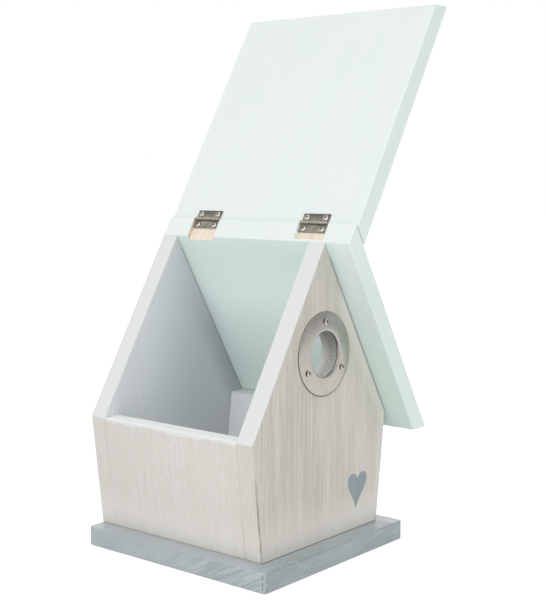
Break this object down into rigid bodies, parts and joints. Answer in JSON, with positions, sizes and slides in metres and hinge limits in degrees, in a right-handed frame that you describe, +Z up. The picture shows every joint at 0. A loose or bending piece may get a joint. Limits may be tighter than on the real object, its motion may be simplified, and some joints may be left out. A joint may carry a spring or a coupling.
{
  "type": "bird nest box",
  "caption": "Gabled wooden nest box on an overhanging base board, with a round metal-rimmed entry hole and a hinged roof panel that swings open for cleaning.",
  "frame": {"origin": "middle of the base board's underside", "axes": "+Z up, the front wall with the entry hole faces -Y, +X to the right seen from the front; the back face that hangs on a wall faces +Y"},
  "size_m": [0.2009, 0.172, 0.3908],
  "materials": {
    "limed_wood": "limed softwood with upright grain outside, white paint inside and on the gable edges",
    "mint_paint": "pale mint satin paint",
    "grey_wash": "blue-grey wash with the grain showing",
    "stainless": "brushed",
    "dark_nickel": "dull plated",
    "screw_steel": "bright zinc"
  },
  "bodies": {
    "house": {"base_board": "grey_wash", "front_wall": "limed_wood", "back_wall": "limed_wood", "left_wall": "limed_wood", "right_wall": "limed_wood", "fixed_roof": "mint_paint", "entry_plate": "stainless", "entry_plate_screws": "screw_steel", "back_hinge_fixed_leaf": "dark_nickel", "back_hinge_pin": "dark_nickel", "back_hinge_fixed_screws": "screw_steel", "front_hinge_fixed_leaf": "dark_nickel", "front_hinge_pin": "dark_nickel", "front_hinge_fixed_screws": "screw_steel", "front_wall_brads": "screw_steel", "back_wall_brads": "screw_steel", "roof_brads": "screw_steel", "base_screws": "screw_steel", "hanger_plate": "screw_steel", "hanger_screws": "screw_steel"},
    "lid": {"roof_lid": "mint_paint", "back_hinge_lid_leaf": "dark_nickel", "back_hinge_lid_screws": "screw_steel", "front_hinge_lid_leaf": "dark_nickel", "front_hinge_lid_screws": "screw_steel"}
  },
  "joints": [
    {"name": "lid_hinge", "type": "hinge", "parent": "house", "child": "lid", "pos_m": [0.00914, 0, 0.23664], "axis": [0, -1, 0], "range_deg": [0, 180]}
  ]
}
